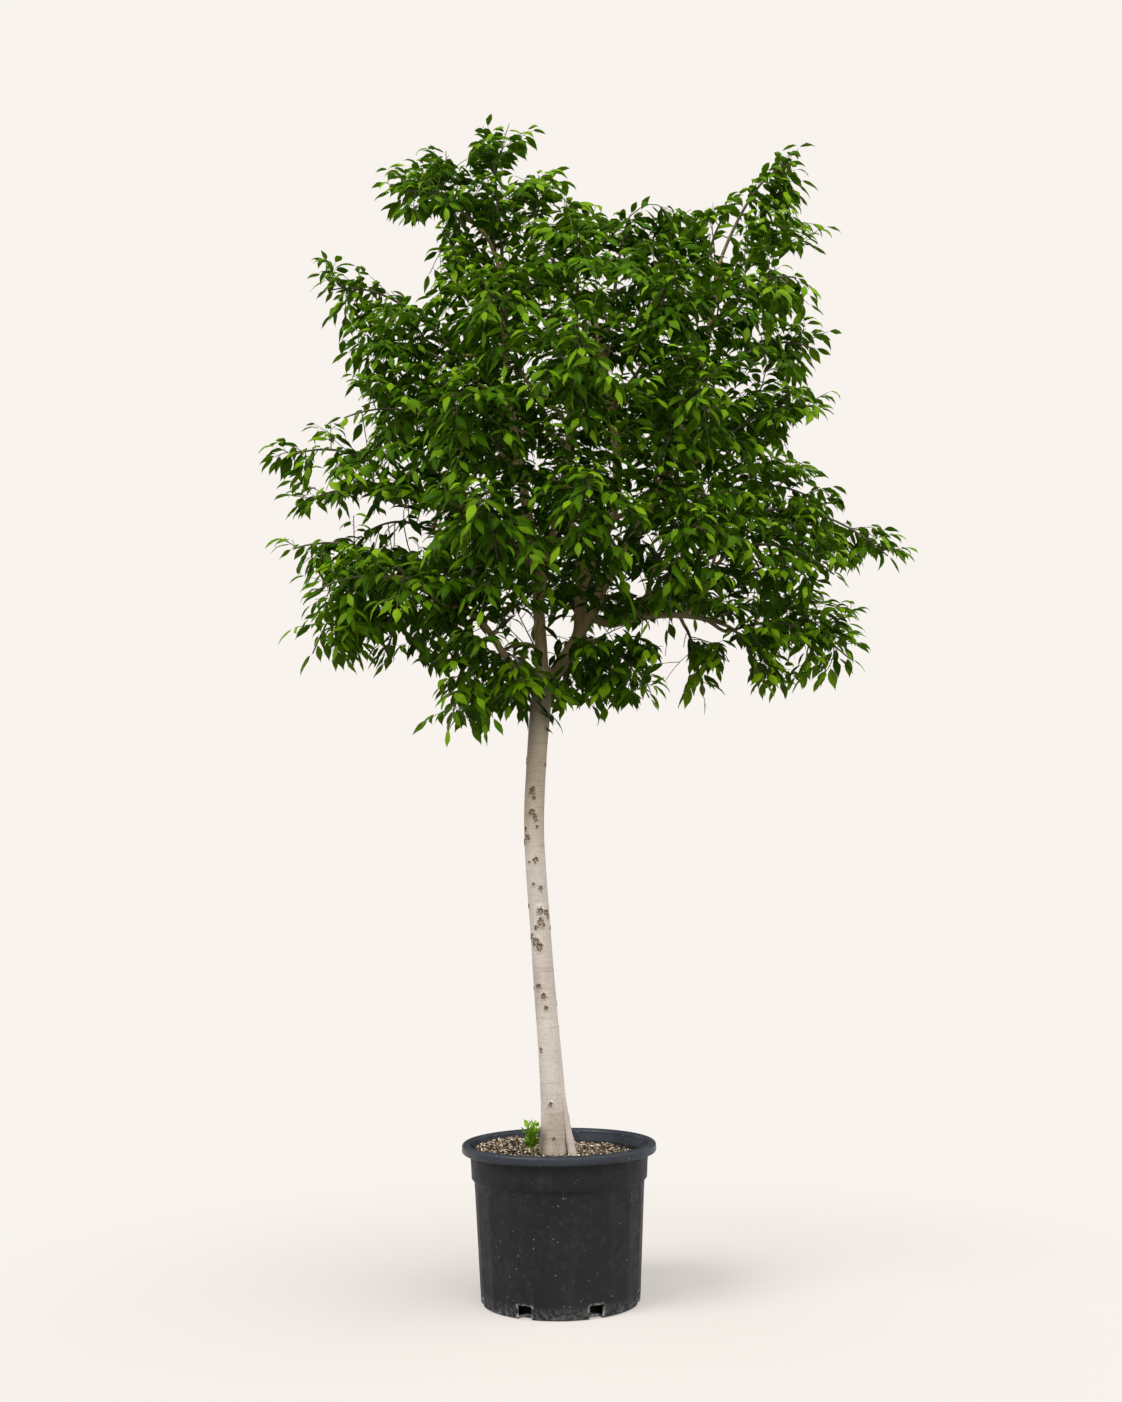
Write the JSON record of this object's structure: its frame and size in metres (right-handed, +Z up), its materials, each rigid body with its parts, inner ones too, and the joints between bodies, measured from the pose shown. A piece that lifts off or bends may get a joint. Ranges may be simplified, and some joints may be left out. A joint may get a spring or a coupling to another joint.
{
  "type": "weeping fig in a pot",
  "caption": "Weeping fig grown as a standard: a bare pale trunk, a wide forked crown of drooping pointed leaves, and a round ribbed nursery pot filled with bark soil.",
  "frame": {"origin": "centre of the pot's underside, on the ground", "axes": "+Z up along the pot's axis; +X to the right as seen from the front; +Y towards the back; the front of the tree faces -Y"},
  "size_m": [1.4332, 1.1053, 2.6983],
  "materials": {
    "pot": "satin charcoal-black plastic with shallow flutes, a smoother rolled lip, dust and scuffs",
    "soil": "matte dark bark and peat mix with paler tan chips",
    "bark": "smooth pale grey-beige bark with brown scars and fine rings",
    "leaf": "glossy mid-green leaf, yellower when young",
    "seedling": "satin bright yellow-green leaf"
  },
  "bodies": {
    "root": {"pot": "pot", "soil": "soil", "wood": "bark", "seedling": "seedling", "bough_crest_west": "leaf", "bough_crest_low": "leaf", "bough_crest_peak": "leaf", "bough_crest_east": "leaf", "bough_shoulder_west": "leaf", "bough_arm_northwest": "leaf", "bough_arm_west_high": "leaf", "bough_arm_west_back": "leaf", "bough_arm_west_mid": "leaf", "bough_far_west": "leaf", "bough_far_west_low": "leaf", "bough_west_drop": "leaf", "bough_arm_southwest": "leaf", "bough_arm_southwest_low": "leaf", "bough_arm_southwest_back": "leaf", "bough_drop_southwest": "leaf", "bough_drop_west": "leaf", "bough_drop_south": "leaf", "bough_drop_south_back": "leaf", "bough_fork_west": "leaf", "bough_fork_east": "leaf", "bough_under_east": "leaf", "bough_drop_east": "leaf", "bough_drop_east_far": "leaf", "bough_arm_southeast": "leaf", "bough_arm_southeast_high": "leaf", "bough_arm_east": "leaf", "bough_arm_east_high": "leaf", "bough_arm_east_low": "leaf", "bough_east_mid": "leaf", "bough_east_mid_back": "leaf", "bough_arm_northeast_low": "leaf", "bough_arm_northeast": "leaf", "bough_arm_northeast_high": "leaf", "bough_crest_northeast": "leaf", "bough_crest_northeast_low": "leaf", "bough_top_east": "leaf", "bough_top_middle": "leaf", "bough_top_west": "leaf", "bough_front_top": "leaf", "bough_front_high_west": "leaf", "bough_front_high_east": "leaf", "bough_front_mid_west": "leaf", "bough_front_middle": "leaf", "bough_front_mid_east": "leaf", "bough_front_low_west": "leaf", "bough_front_low": "leaf", "bough_front_low_east": "leaf", "bough_back_top": "leaf", "bough_back_high_west": "leaf", "bough_back_high_east": "leaf", "bough_back_middle": "leaf", "bough_back_mid_west": "leaf", "bough_back_mid_east": "leaf", "bough_back_low": "leaf", "bough_back_low_east": "leaf"}
  },
  "joints": []
}
